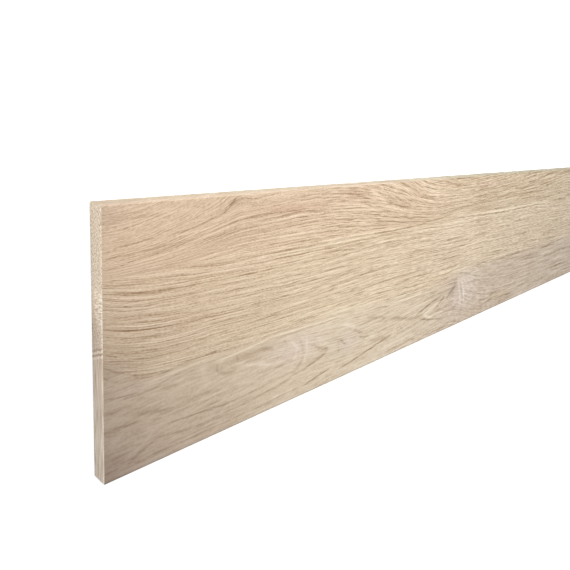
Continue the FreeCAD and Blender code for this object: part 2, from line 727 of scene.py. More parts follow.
BOTTOM_STROKES = (
    # The head of the strip: a crack-like line, then pale lines.
    Stroke((-4, 96), (24, 79.5), -1, 2.4, 0.3),
    Stroke((21, 81), (27, 75.5), 0, 2.8, 0.26),
    Stroke((25, 75.8), (57, 74.6), -0.5, 2.8, 0.34),
    Stroke((50, 75.2), (100, 78), 0.6, 3.6, 0.32),
    Stroke((84, 77.8), (126, 79.2), 0, 3, 0.18),
    Stroke((32, 70.2), (98, 74.4), 0, 2.6, -0.3),
    Stroke((-4, 68.8), (32, 65), -0.4, 2.6, 0.24),
    Stroke((8, 63.4), (42, 64.4), 0, 2.4, 0.2),
    Stroke((40, 64.4), (54, 68.2), 0, 2.4, 0.2),
    Stroke((50, 68), (70, 68.8), 0.3, 2.4, 0.18),
    Stroke((0, 85.5), (5, 82), 0, 2.4, 0.24),
    Stroke((5, 81), (11, 78.6), 0, 2.4, 0.22),
    Stroke((1, 77.2), (9, 75.8), 0, 2.2, 0.2),
    Stroke((96, 68.8), (162, 74.8), -0.8, 3, -0.42),
    Stroke((148, 74.5), (268, 72.5), -0.6, 2.8, -0.4),
    Stroke((346, 66), (440, 65.4), 0, 3, -0.46),
    Stroke((460, 79.8), (522, 82.2), 0, 4, -0.42),
    Stroke((560, 83.3), (720, 82.2), 0, 3.4, -0.42),
    Stroke((545, 81), (574, 80.6), 0, 3.4, 0.4),
    Stroke((590, 78.4), (640, 78.6), 0, 3.6, 0.42),
    Stroke((632, 79.4), (700, 79), 0, 3.6, 0.36),
    Stroke((690, 79.2), (760, 78.6), 0, 3.8, 0.36),
    # The long eye.
    Stroke((98, 66.8), (99.5, 58), 0, 3.8, 0.18),
    Stroke((99, 58.8), (122, 55), -2.4, 5.4, 0.24),
    Stroke((103, 60.6), (129, 59.6), 0, 3.2, -0.2),
    Stroke((116, 68), (121.5, 62), 0, 3.6, 0.16),
    Stroke((112, 66.5), (162, 63.5), 0.4, 6.4, 0.2),
    Stroke((146, 66.5), (163.5, 60), 0.6, 6.6, 0.15),
    Stroke((118, 58.5), (168, 45), 0.4, 4.4, -0.26),
    Stroke((82, 68), (91, 49), 0, 10, -0.14),
    # The fibres to its right.
    Stroke((162, 68.6), (262, 69.6), 0, 2, -0.2),
    Stroke((165, 71.3), (252, 71.3), 0, 2.2, 0.16),
    Stroke((191.5, 66), (203, 42), 2.5, 4.4, 0.14),
    Stroke((203.5, 44), (189, 31.5), 3, 6.4, 0.18),
    Stroke((204, 67), (205, 32), 2.5, 5.4, -0.15),
    Stroke((182, 66), (187, 36), 8, 5.4, -0.16),
    Stroke((171, 67), (179.5, 61), 1, 3.4, 0.16),
    Stroke((179.5, 62), (174.5, 54), 1.5, 3.6, 0.1),
    Stroke((162, 42.5), (179, 41.5), 0, 2.6, 0.14),
    # Arches that close to the right, from the outermost inwards.
    Stroke((258, 11), (330, 22.5), -0.6, 3.4, 0.5),
    Stroke((320, 21.5), (356, 26.5), 0, 3.4, 0.4),
    Stroke((206, 10), (250, 18), -0.4, 2.8, 0.5),
    Stroke((132, 8.5), (214, 11), -0.5, 2.4, 0.24),
    Stroke((30, 8), (94, 8), 0, 2.4, 0.34),
    Stroke((84, 8), (146, 8.5), 0, 2.4, 0.22),
    Stroke((212, 52.5), (242, 40.3), -1, 4.4, 0.26),
    Stroke((222, 43), (243, 39.5), 0, 7, 0.15),
    Stroke((206, 29), (238, 38.5), -0.5, 6.4, 0.14),
    Stroke((239, 46.8), (262, 46), 0, 2.4, 0.2),
    Stroke((254, 33.6), (260, 32.4), 0, 5, 0.2),
    Stroke((242, 39.6), (202, 28), 1.5, 5, 0.28),
    Stroke((210, 29.5), (126, 18.5), 2, 3.4, 0.26),
    Stroke((138, 19), (108, 17.4), 0, 4, 0.22),
    Stroke((40, 21.4), (90, 16.4), -0.3, 4.2, 0.26),
    Stroke((84, 16.4), (118, 17.2), 0, 4, 0.24),
    Stroke((104, 26), (192, 31), -0.8, 2.6, 0.18),
    Stroke((46, 30.5), (116, 25.5), -0.3, 2.4, 0.34),
    # The left end.
    Stroke((-20, 43), (34, 42), 0, 6.5, 0.26),
    Stroke((20, 49.5), (64, 40), 0, 6, 0.2),
    Stroke((54, 42.5), (96, 44), 0, 4, 0.18),
    Stroke((18, 8.5), (44, 21), 0.6, 5, 0.28),
    Stroke((-6, 19.5), (20, 17.5), 0, 9, 0.18),
    Stroke((-6, 8.5), (12, 8.8), 0, 3.2, 0.28),
    Stroke((-4, 57), (15, 56.4), 0, 4.4, 0.16),
    Stroke((20, 52), (46, 47.5), 0, 7, 0.14),
    Stroke((42, 40.4), (60, 39.4), 0, 2.2, 0.2),
    Stroke((86, 37.4), (99, 36.6), 0, 2.6, 0.18),
    Stroke((88, 32.2), (104, 31), 0, 3.2, 0.22),
    Stroke((24, 15.5), (41, 29), 0, 4.5, -0.22),
    # Flecks past the arches.
    Stroke((255, 50), (258, 30), 0, 5, 0.1),
    Stroke((256, 46), (270, 36.5), 0.5, 4.4, 0.28),
    Stroke((258, 61.5), (283, 54.5), 0, 6, -0.24),
    Stroke((276, 52), (297, 42.5), 0, 4, 0.28),
    Stroke((288, 40.5), (309, 36.5), 0, 4.2, 0.36),
    Stroke((298, 60), (338, 51), 0, 5, 0.24),
    Stroke((308, 67.5), (342, 64.5), 0, 3.4, 0.3),
    # The V that opens to the right.
    Stroke((324, 48.5), (372, 43.5), 0.6, 6.4, 0.18),
    Stroke((362, 44), (424, 35.5), -1.8, 7.4, 0.24),
    Stroke((350, 47.6), (366, 46), 0, 2.6, 0.22),
    Stroke((371, 30), (379, 28.8), 0, 3.4, 0.3),
    Stroke((308, 29.5), (346, 26.5), 0, 9, 0.16),
    Stroke((309, 42.2), (318, 40.6), 0, 3.4, 0.28),
    Stroke((310, 35.6), (319, 33.6), 0, 5, -0.2),
    Stroke((308, 78.6), (338, 76.6), 0, 2.6, 0.24),
    Stroke((338, 72.6), (372, 71.2), 0, 2.8, -0.26),
    Stroke((366, 71.4), (392, 74), 0, 2.8, -0.26),
    Stroke((412, 54), (440, 55), 0, 3.2, 0.22),
    Stroke((418, 61), (450, 60), 0, 8, 0.1),
    Stroke((346, 6.2), (372, 7.6), 0, 2.8, 0.26),
    Stroke((396, 8.2), (410, 7.6), 0, 3.2, 0.3),
    Stroke((340, 12.5), (404, 14.5), 0, 5, -0.18),
    Stroke((402, 38), (462, 53), 1.6, 4.6, 0.46),
    Stroke((366, 46.5), (452, 57), -1.2, 5.4, -0.24),
    Stroke((420, 34.2), (464, 45.5), 1.5, 5.4, -0.28),
    Stroke((420, 35.4), (450, 26), -1, 5, -0.28),
    Stroke((412, 33), (474, 20), -2, 4, 0.42),
    Stroke((444, 36), (462, 45), 0, 4.2, 0.32),
    Stroke((454, 43.5), (470, 51.5), 0, 5.4, 0.36),
    Stroke((464, 32), (506, 32.5), -3, 2.8, 0.32),
    Stroke((478, 26.5), (508, 29.5), -1.2, 2.6, 0.2),
    # The knot and the fibres behind it.
    Stroke((472, 45.5), (495, 62), 0.5, 9, 0.34),
    Stroke((478, 70.5), (495, 69), 0, 3.8, 0.28),
    Stroke((496, 68), (519, 24), 2, 5.4, -0.34),
    Stroke((508, 66), (528, 23), 3, 4.6, -0.24),
    Stroke((503, 67), (527, 35), 2, 4.2, -0.22),
    Stroke((510, 67), (538, 41), 2, 4.2, -0.2),
    Stroke((520, 66), (550, 45), 2, 3.6, -0.16),
    Stroke((500, 64), (520, 37), 2, 2.6, 0.18),
    # Past the knot.
    Stroke((524, 60), (592, 48), 0.8, 3.4, 0.24),
    Stroke((564, 69.5), (598, 65.5), 0, 3.8, 0.34),
    Stroke((576, 12.5), (626, 17.5), 0, 4.4, 0.4),
    Stroke((602, 23), (640, 27.5), 0, 4, 0.38),
    Stroke((576, 21.6), (628, 22), 0, 4, 0.26),
    Stroke((664, 13.6), (692, 11.6), 0, 4, 0.26),
    Stroke((668, 67.8), (744, 68.2), 0, 3.8, 0.34),
    Stroke((760, 72.6), (892, 79.2), 0, 4.4, 0.36),
    Stroke((790, 57.2), (924, 58.6), -0.6, 4.6, 0.38),
    Stroke((776, 61.8), (848, 61.2), 0, 4, -0.3),
    Stroke((852, 23.2), (896, 21.6), 0, 5, 0.36),
    Stroke((862, 29.2), (948, 27.2), 0, 4.6, 0.28),
)


@dataclass(frozen=True)
class Grain:
    """What the wood is at a point of the board.

    Attributes:
        place: The point.
        in_top: Whether the point is in the top strip, as 0 or 1.
        in_bottom: Whether the point is in the bottom strip, as 0 or 1.
        over_lower: How far the point is above the bottom strip's head.
        fibre: A number of millimetres that is the same along a fibre.
        count: The growth rings, counted with their share.
        share: How far the point is through its ring.
        force: How strongly its ring shows there.
    """

    place: Place
    in_top: Wire
    in_bottom: Wire
    over_lower: Wire
    fibre: Wire
    count: Wire
    share: Wire
    force: Wire


@dataclass(frozen=True)
class Figure:
    """The grain of the whole board.

    Attributes:
        top: The strip along the top edge.
        middle: The strip between the joints.
        bottom: The strip along the bottom edge.
        upper_joint: Where the top strip starts, up the board.
        lower_joint: Where the middle strip starts, up the board.
        lower_profile: How the middle strip's start goes along the board.
        strokes: The lines that stand out on the show face.
    """

    top: FannedStrip
    middle: StraightStrip
    bottom: CathedralStrip
    upper_joint: float
    lower_joint: float
    lower_profile: Profile
    strokes: tuple[Stroke, ...]

    # The noise that makes the grain sway, how far it moves it, and how the bottom fibres sink at the right.
    SLOW = Clouds(130.0, 34.0, 0.0)
    QUICK = Clouds(27.0, 9.0, 40.0)
    SLOW_SWAY = 7.0
    QUICK_SWAY = 2.2
    DROOP = Step(480.0, 640.0, 16.0)

    # How much of the arches the bottom fibres follow, how uneven the rings are, and where one shows.
    ARCH_SHARE = 0.2
    UNEVENNESS = 2.2
    RING_SHOWS = (0.36, 0.62)

    def at(self, place: Place) -> Grain:
        """Wire up the growth rings of all three strips.

        Args:
            place: A point of the board.

        Returns:
            The wood at that point.
        """
        slow = self.SLOW.at(place)
        quick = self.QUICK.at(place)
        up = place.up + (slow - 0.5) * self.SLOW_SWAY + (quick - 0.5) * self.QUICK_SWAY
        swayed = Place(place.along, up, place.deep)
        in_top = place.up.above(self.upper_joint)
        over_lower = swayed.up - profile_at(self.lower_joint, self.lower_profile, place.along)
        in_bottom = 1.0 - over_lower.above(0.0)
        top = self.top.rings(swayed)
        middle = self.middle.rings(swayed)
        bottom = self.bottom.rings(swayed)
        droop = profile_at(0.0, (self.DROOP,), place.along)
        bottom_fibre = bottom * self.ARCH_SHARE + swayed.up * (1.0 - self.ARCH_SHARE) + droop
        fibre = middle.towards(top, in_top).towards(bottom_fibre, in_bottom)
        rings = (middle / self.middle.ring_pitch).towards(top / self.top.ring_pitch, in_top)
        rings = rings.towards(bottom / self.bottom.ring_pitch, in_bottom)
        uneven = noise((rings / 2.6, place.along / 420.0, 80.0))
        count = rings + (uneven - 0.5) * self.UNEVENNESS
        ring = count.floor()
        along_ring = noise((place.along / 110.0, ring * 3.7, 120.0), detail=2.0)
        force = (chance(ring) * 0.85 + 0.15) * along_ring.ease(*self.RING_SHOWS)
        return Grain(place, in_top, in_bottom, over_lower, fibre, count, count - ring, force)


OAK_FIGURE = Figure(
    top=FannedStrip(
        ring_pitch=5.0,
        lean=1.1,
        shift=0.0,
        foot=152.0,
        reach=15.0,
        crowds=(Swell(0.0, 80.0, 80.0, 44.0), Swell(415.0, 88.0, 300.0, 38.0)),
        bud=Swell(110.0, 34.0, 10.0, 5.0),
        bud_top=200.0,
        bud_reach=14.0,
    ),
    middle=StraightStrip(
        ring_pitch=5.2,
        lean=0.2,
        shift=2000.0,
        head=152.0,
        bend=8.5,
        bend_reach=32.0,
        bend_growth=75.0,
        rise=Swell(400.0, 260.0, 260.0, 3.0),
    ),
    bottom=CathedralStrip(
        ring_pitch=6.0,
        lean=0.8,
        shift=4000.0,
        axis=62.0,
        axis_profile=(
            Step(100.0, 260.0, -22.0),
            Step(330.0, 410.0, -3.0),
            Step(480.0, 900.0, -30.0),
        ),
        depth=2.0,
        depth_profile=(
            Step(120.0, 30.0, 8.0),
            Step(130.0, 300.0, 36.0),
            Step(335.0, 465.0, -35.0),
            Step(478.0, 580.0, 38.0),
        ),
        point=1.5,
    ),
    upper_joint=152.0,
    lower_joint=75.0,
    lower_profile=(
        Swell(0.0, 20.0, 20.0, 16.0),
        Swell(425.0, 60.0, 35.0, -10.0),
        Step(460.0, 500.0, 5.0),
    ),
    strokes=TOP_STROKES + MIDDLE_STROKES + BOTTOM_STROKES,
)


@dataclass(frozen=True)
class Patch:
    """A soft patch of another tone on the board.

    Attributes:
        along: Where its middle is, along the board.
        up: Where its middle is, up the board.
        reach_along: How far it reaches along the board.
        reach_up: How far it reaches up and down.
        colour: The tone.
        strength: How much of the tone shows in the middle.
    """

    along: float
    up: float
    reach_along: float
    reach_up: float
    colour: Colour
    strength: float

    def share(self, place: Place) -> Wire:
        """Fade the tone out from the patch's middle.

        Args:
            place: The point.

        Returns:
            How much of the tone shows there.
        """
        across = ((place.along - self.along) / self.reach_along).power(2.0)
        upward = ((place.up - self.up) / self.reach_up).power(2.0)
        return ((across + upward) * -1.0).exp() * self.strength


class Pen:
    """Draws strokes. Its formula is wired once, as a node group that every stroke uses."""

    PLACE = ("Along", "Up")
    RUN = ("Run Along", "Run Up", "Run Start")
    BESIDE = ("Beside Along", "Beside Up", "Beside Start")
    LINE = ("Bow", "Sharpness", "Tone")
    BEFORE = "Before"
    END_SHARPNESS = 6.0

    def __init__(self) -> None:
        """Wire up the node group."""
        self.group = bpy.data.node_groups.new("stroke", "ShaderNodeTree")
        names = (*self.PLACE, *self.RUN, *self.BESIDE, *self.LINE, self.BEFORE)
        for name in names:
            self.group.interface.new_socket(name, in_out="INPUT", socket_type="NodeSocketFloat")
        self.group.interface.new_socket("Drawn", in_out="OUTPUT", socket_type="NodeSocketFloat")
        inputs = self.group.nodes.new("NodeGroupInput")
        given = {name: Wire(self.group, inputs.outputs[name]) for name in names}
        place = [given[name] for name in self.PLACE]
        run = self.measure(place, [given[name] for name in self.RUN])
        hump = run - run * run
        ends = (hump * self.END_SHARPNESS).at_least(0.0).at_most(1.0)
        beside = self.measure(place, [given[name] for name in self.BESIDE])
        beside = beside - hump * given["Bow"]
        line = (1.0 - beside * beside * given["Sharpness"]).at_least(0.0)
        drawn = (line * line * ends).math("MULTIPLY_ADD", given["Tone"], given[self.BEFORE])
        output = self.group.nodes.new("NodeGroupOutput")
        self.group.links.new(drawn.socket, output.inputs["Drawn"])

    def measure(self, place: list[Wire], factors: list[Wire]) -> Wire:
        """Measure how far a place is in one direction.

        Args:
            place: How far along and up the board it is.
            factors: What each of them is multiplied by, and what is added.

        Returns:
            The distance.
        """
        # The height is used first: it is known last, so that no stroke is worked out in part and kept.
        risen = place[1].math("MULTIPLY_ADD", factors[1], factors[2])
        return place[0].math("MULTIPLY_ADD", factors[0], risen)

    def draw(self, stroke: Stroke, along: Wire, up: Wire, before: Term) -> Wire:
        """Draw a stroke over others.

        Args:
            stroke: The stroke.
            along: How far along the board the place is.
            up: How far up the board the place is.
            before: The tone that the strokes drawn before give the place.

        Returns:
            The tone with this stroke added.
        """
        node = along.tree.nodes.new("ShaderNodeGroup")
        node.node_tree = self.group
        (left, low), (right, high) = stroke.start, stroke.end
        span = math.hypot(right - left, high - low)
        ahead = ((right - left) / span, (high - low) / span)
        run = (ahead[0] / span, ahead[1] / span, -(left * ahead[0] + low * ahead[1]) / span)
        beside = (-ahead[1], ahead[0], left * ahead[1] - low * ahead[0])
        line = (4.0 * stroke.bow, (2.0 / stroke.width) ** 2, stroke.tone)
        for socket, term in zip(node.inputs, (along, up, *run, *beside, *line, before)):
            plug(along.tree, socket, term)
        return Wire(along.tree, node.outputs["Drawn"])


@dataclass(frozen=True)
class StripTone:
    """The colours of one strip.

    Attributes:
        left: The wood at the left end.
        middle: The wood about a third of the way along.
        right: The wood from two thirds of the way on.
    """

    left: Colour
    middle: Colour
    right: Colour


@dataclass(frozen=True)
class EndTone:
    """The colours of the sawn ends.

    Attributes:
        upper: The wood of the upper half.
        middle: The wood just below the middle.
        lower: The wood of the lower half.
    """

    upper: Colour
    middle: Colour
    lower: Colour


@dataclass(frozen=True)
class Zones:
    """How much of each trait of the figure a point has.

    Attributes:
        far: How far towards the right end the point is.
        bowl: Whether the top strip is in or past its bowl there.
        fine: How much stronger the fine fibres are.
        calm: How much of the streaks is left.
        still: Whether the point is in the still wood of the top left corner.
        swirl: Whether the point is round the knot.
        reach: Whether the point is past the fan, above the bottom strip.
    """

    far: Wire
    bowl: Wire
    fine: Wire
    calm: Wire
    still: Wire
    swirl: Wire
    reach: Wire


class Blend(Enum):
    """How one colour is laid over another, by Blender's name for it."""

    OVER = "MIX"
    MULTIPLIED = "MULTIPLY"


class Oak:
    """The pale oak finish: ring lines, streaks, open pores and end grain, with painted highlights on the
    arrises and painted shade at the bottom left corner, along the foot and on the top edge.
    """

    TOP = StripTone(srgb(215, 189, 161), srgb(216, 191, 162), srgb(209, 187, 155))
    MIDDLE = StripTone(srgb(216, 192, 163), srgb(222, 200, 171), srgb(217, 196, 167))
    BOTTOM = StripTone(srgb(215, 194, 169), srgb(224, 205, 179), srgb(206, 186, 163))
    END = EndTone(srgb(219, 201, 177), srgb(196, 177, 157), srgb(197, 181, 163))
    # Painted highlight on the arrises.
    ARRIS_HIGHLIGHT = srgb(232, 215, 193)
    PLAIN = (1.0, 1.0, 1.0, 1.0)
    LINE = (0.46, 0.37, 0.28, 1.0)
    SHEEN = (1.36, 1.46, 1.6, 1.0)
    # Painted shade: the darkening of the bottom left corner, the grey along the foot (which also greys the
    # back of the ends) and the shade on the top edge.
    CORNER_SHADE = (0.372, 0.343, 0.37, 1.0)
    SHADE_GREY = (0.7, 0.78, 0.86, 1.0)
    EDGE = (0.64, 0.71, 0.66, 1.0)
    PATCHES = (
        Patch(4, 10, 32, 15, srgb(176, 150, 134), 0.3),
        Patch(8, 87, 30, 9, srgb(165, 140, 122), 0.32),
        Patch(85, 9, 52, 13, srgb(186, 164, 146), 0.22),
        Patch(475, 178, 100, 22, srgb(228, 207, 180), 0.2),
        Patch(190, 56, 38, 15, srgb(228, 210, 194), 0.62),
        Patch(268, 42, 34, 12, srgb(222, 206, 186), 0.4),
        Patch(271, 38, 10, 11, srgb(226, 209, 194), 0.45),
        Patch(520, 48, 34, 26, srgb(220, 204, 192), 0.6),
        Patch(484, 60, 16, 12, srgb(200, 178, 162), 0.5),
        Patch(487, 56, 5.5, 5, srgb(150, 128, 112), 0.5),
        Patch(165, 186, 55, 5, srgb(206, 172, 146), 0.55),
        Patch(105, 195, 6, 5, srgb(170, 138, 110), 0.3),
        Patch(240, 82, 260, 11, srgb(226, 207, 174), 0.4),
        Patch(3, 193, 16, 7, srgb(176, 148, 128), 0.26),
        Patch(560, 46, 46, 26, srgb(226, 207, 188), 0.2),
        Patch(648, 19, 30, 6, srgb(206, 182, 146), 0.45),
        Patch(496, 36, 14, 9, srgb(216, 193, 180), 0.35),
        Patch(458, 71, 14, 7, srgb(222, 198, 178), 0.3),
        Patch(20, 69, 28, 7, srgb(226, 204, 186), 0.26),
        Patch(380, 50, 40, 26, srgb(204, 182, 150), 0.12),
        Patch(138, 64, 24, 5, srgb(196, 172, 146), 0.35),
        Patch(525, 189, 26, 4, srgb(216, 184, 164), 0.4),
        Patch(248, 192, 22, 6, srgb(204, 171, 145), 0.45),
    )

    # Fibres from broad bands to pores, and the soft clouds among them.
    BAND = Fibres(200.0, 2.4, 360.0)
    STREAK = Fibres(70.0, 0.95, 160.0)
    DASH = Fibres(11.0, 0.85, 320.0)
    PORE = Fibres(2.6, 0.75, 200.0)
    GRIT = Fibres(12.0, 0.9, 680.0, detail=0.0)
    MOTTLE = Clouds(16.0, 5.0, 560.0)
    CLOUD = Clouds(150.0, 40.0, 240.0, detail=2.0)

    # Stretches of the board's length, each from where a trait starts to where it is full.
    TO_MIDDLE = (0.0, 260.0)
    TO_RIGHT = (300.0, 620.0)
    FAR = (150.0, 600.0)
    BOWL = (150.0, 260.0)
    PAST_FAN = (120.0, 260.0)
    GRITTY = (60.0, 240.0)
    LEFT_END = (140.0, 20.0)
    STILL = (130.0, 70.0)
    KNOT_LEFT = (465.0, 510.0)
    KNOT_RIGHT = (690.0, 600.0)
    VEE_LEFT = (300.0, 350.0)
    VEE_RIGHT = (500.0, 460.0)

    # The foot of the still wood at the left end, and how much it rises for each millimetre along.
    STILL_FOOT = (168.0, 176.0)
    STILL_RISE = 0.1

    # How the strips' colours meet: across the upper joint and along it, and at the lower joint.
    MERGE_ACROSS = (-18.0, 10.0)
    MERGE_ALONG = (220.0, 90.0)
    LOWER_BLEND = (9.0, -9.0)

    # Shares of a ring: its dark line, the softer one of the bottom strip and its pale band.
    DARK_RISE = (0.0, 0.12)
    DARK_FALL = (0.4, 0.0)
    SOFT_RISE = (0.0, 0.3)
    SOFT_FALL = (0.75, 0.0)
    PALE_RISE = (0.62, 0.9)
    PALE_FALL = (1.0, 0.9)

    # How far the strokes stray up and along the board, and how deep they go.
    WOBBLE = Fibres(24.0, 8.0, 520.0)
    WOBBLE_UP = 2.4
    SWAY = Fibres(10.0, 7.0, 600.0)
    SWAY_ALONG = 6.0
    STROKES_DEEP = (6.0, 1.0)

    # Painted light: how near to an outer side a point counts as on it, the painted highlight on the ends'
    # arrises, the painted shade along the foot and the greyer back of the ends, and the painted shade on
    # the top edge, which is weaker at its front and stronger to the right.
    SKIN = (0.45, 0.15)
    HIGHLIGHT_ALONG = (0.45, 0.1)
    HIGHLIGHT_DEEP = (1.9, 0.7)
    FOOT_SHADE = (3.2, 0.8)
    GREY_BACK = (1.8, 0.4)
    PALE_FRONT = (6.5, 3.0)
    PALE_LEFT = (420.0, 250.0)
    EDGE_SHADE_RIGHT = (200.0, 600.0)

    # The ends: where their colours meet, their upper half, the rays across it and the shade by them.
    TO_UPPER_END = (112.0, 142.0)
    TO_LOWER_END = (86.0, 60.0)
    UPPER_HALF = (92.0, 112.0)
    RAYS_FOOT = (116.0, 126.0)
    RAYS_HEAD = (148.0, 140.0)
    RAYS_DEEP = (11.0, 8.0)
    SHADE_FOOT = (100.0, 106.0)
    SHADE_HEAD = (140.0, 124.0)

    # The painted shade at the bottom left corner: its height and reach, and the reach and foot of the
    # darker band along the left end.
    CORNER_SHADE_HEIGHT = 165.0
    CORNER_SHADE_REACH = 92.0
    DARK_END_REACH = 16.0
    DARK_END_FOOT = (60.0, 84.0)

    # The lines across the ends: how far each lies below the first, its half width and its tone.
    END_LINES = ((0.0, 1.5, 1.0), (3.9, 1.5, 1.0), (2.0, 1.3, -1.0), (5.9, 1.4, -1.0))
    END_LINES_UP = 106.6
    END_LINES_LEAN = 0.52

    # The upper joint's hairline: how far its dark and pale lines are from it, their half widths and tones.
    JOINT_DARK = (-0.9, 0.9, 0.5)
    JOINT_PALE = (0.8, 1.0, 0.6)
    JOINT_SHOWS = Swell(250.0, 80.0, 90.0, 0.6)
    JOINT_FAINTEST = 0.3

    # How the surface takes light, and how much rougher a full dark line is.
    ROUGHNESS = 0.5
    LINE_ROUGHNESS = 0.2
    SPECULAR = 0.35
    BUMP_STRENGTH = 0.5
    BUMP_DEPTH = 0.12 * MM

    def __init__(self, size: BoardSize, figure: Figure, arris: float) -> None:
        """Hold what the finish is fitted to.

        Args:
            size: The board's sizes.
            figure: The board's grain.
            arris: The radius of the eased arrises, in metres.
        """
        self.size = size
        self.figure = figure
        self.arris = arris
        self.material = bpy.data.materials.new("pale_oak")
        self.material.use_nodes = True
        self.tree = self.material.node_tree

    def build(self) -> bpy.types.Material:
        """Wire up the finish.

        Returns:
            The finished material.
        """
        coordinates = self.tree.nodes.new("ShaderNodeTexCoord")
        place = Place.read(self.tree, coordinates.outputs["Object"], self.size)
        grain = self.figure.at(place)
        on_end = self.from_side(place.along, self.size.length).ease(*self.SKIN)
        face_tone, pores = self.face_tone(grain)
        tone = face_tone.towards(self.end_tone(place), on_end)
        self.shade(self.stained(self.wood(grain, on_end), tone), tone, pores)
        return self.material

    def shade(self, colour: bpy.types.NodeSocket, tone: Wire, pores: Wire) -> None:
        """Give the shader its colour, gloss and bumps.

        Args:
            colour: The finished colour.
            tone: How dark the grain is, which also makes it duller.
            pores: How deep the pores are.
        """
        links = self.tree.links
        shader = self.tree.nodes["Principled BSDF"]
        links.new(colour, shader.inputs["Base Color"])
        roughness = tone * self.LINE_ROUGHNESS + self.ROUGHNESS
        links.new(roughness.socket, shader.inputs["Roughness"])
        shader.inputs["Specular IOR Level"].default_value = self.SPECULAR
        bump = self.tree.nodes.new("ShaderNodeBump")
        bump.inputs["Strength"].default_value = self.BUMP_STRENGTH
        bump.inputs["Distance"].default_value = self.BUMP_DEPTH
        links.new((pores * -1.0).socket, bump.inputs["Height"])
        links.new(bump.outputs["Normal"], shader.inputs["Normal"])

    def mix(
        self, share: Term, first: Paint, second: Paint, blend: Blend = Blend.OVER
    ) -> bpy.types.NodeSocket:
        """Mix two colours.

        Args:
            share: How much of the second colour shows.
            first: A colour, or the socket that it comes from.
            second: A colour, or the socket that it comes from.
            blend: How the second colour is laid over the first.

        Returns:
            The mixed colour's socket.
        """
        node = self.tree.nodes.new("ShaderNodeMix")
        node.data_type = "RGBA"
        node.blend_type = blend.value
        plug(self.tree, node.inputs["Factor"], share)
        for socket, colour in zip((node.inputs[6], node.inputs[7]), (first, second)):
            if isinstance(colour, bpy.types.NodeSocket):
                self.tree.links.new(colour, socket)
            else:
                socket.default_value = colour
        return node.outputs[2]

    def strip_colour(self, tone: StripTone, place: Place) -> bpy.types.NodeSocket:
        """Grade a strip's colour along the board."""
        start = self.mix(place.along.ease(*self.TO_MIDDLE), tone.left, tone.middle)
        return self.mix(place.along.ease(*self.TO_RIGHT), start, tone.right)

    def by_strip(
        self, grain: Grain, top: Paint, middle: Paint, bottom: Paint
    ) -> bpy.types.NodeSocket:
        """Choose a colour by the strip that a point is in.

        Args:
            grain: The wood at the point.
            top: The top strip's colour, which merges into the middle one at the left.
            middle: The middle strip's colour.
            bottom: The bottom strip's colour.

        Returns:
            The colour's socket.
        """
        merged = (grain.place.up - self.figure.upper_joint).ease(*self.MERGE_ACROSS)
        in_top = grain.in_top.towards(merged, grain.place.along.ease(*self.MERGE_ALONG))
        upper = self.mix(in_top, middle, top)
        return self.mix(grain.over_lower.ease(*self.LOWER_BLEND), upper, bottom)

    def wood(self, grain: Grain, on_end: Wire) -> bpy.types.NodeSocket:
        """Colour the wood without its lines.

        Args:
            grain: The wood at a point.
            on_end: Whether the point is on an end, as 0 to 1.

        Returns:
            The colour's socket.
        """
        place = grain.place
        strips = [self.strip_colour(tone, place) for tone in (self.TOP, self.MIDDLE, self.BOTTOM)]
        wood = self.by_strip(grain, *strips)
        for patch in self.PATCHES:
            wood = self.mix(patch.share(place), wood, patch.colour)
        # Painted shade: the wood is darkened towards the bottom left corner.
        wood = self.mix(self.painted_corner_shade(place), wood, self.CORNER_SHADE, Blend.MULTIPLIED)
        upper_end = self.mix(place.up.ease(*self.TO_UPPER_END), self.END.middle, self.END.upper)
        end_wood = self.mix(place.up.ease(*self.TO_LOWER_END), upper_end, self.END.lower)
        wood = self.mix(on_end, wood, end_wood)
        # Painted highlight: the arrises are made paler.
        wood = self.mix(self.painted_arris_highlight(place), wood, self.ARRIS_HIGHLIGHT)
        # Painted shade: the top edge is darkened, except on the ends.
        wood = self.mix(self.painted_edge_shade(place) * (1.0 - on_end), wood, self.EDGE, Blend.MULTIPLIED)
        # Painted shade: a grey along the foot of the faces; the back of the ends is greyed too.
        return self.mix(self.painted_foot_shade_and_grey_back(place, on_end), wood, self.SHADE_GREY, Blend.MULTIPLIED)

    def stained(self, wood: bpy.types.NodeSocket, tone: Wire) -> bpy.types.NodeSocket:
        """Lay the lines over the wood.

        Args:
            wood: The wood's colour.
            tone: The lines, dark above 0 and pale below it.

        Returns:
            The colour's socket.
        """
        stain = self.mix(tone.math("MULTIPLY", 1.0, clamp=True), self.PLAIN, self.LINE)
        stain = self.mix(tone.math("MULTIPLY", -1.0, clamp=True), stain, self.SHEEN)
        return self.mix(1.0, wood, stain, Blend.MULTIPLIED)

    def face_tone(self, grain: Grain) -> tuple[Wire, Wire]:
        """Draw the lines of the long sides: rings, streaks, pores, joint and strokes.

        Args:
            grain: The wood at a point.

        Returns:
            The tone, which is dark above 0 and pale below it, and the pores in it.
        """
        place = grain.place
        early, late = self.ring_lines(grain)
        run = grain.fibre * (1.0 - grain.in_bottom * 0.3)
        band, streak, dash, pore = (
            fibres.at(place.along, run) for fibres in (self.BAND, self.STREAK, self.DASH, self.PORE)
        )
        mottle = self.MOTTLE.at(place)
        cloud = self.CLOUD.at(place)
        zones = self.zones(grain)
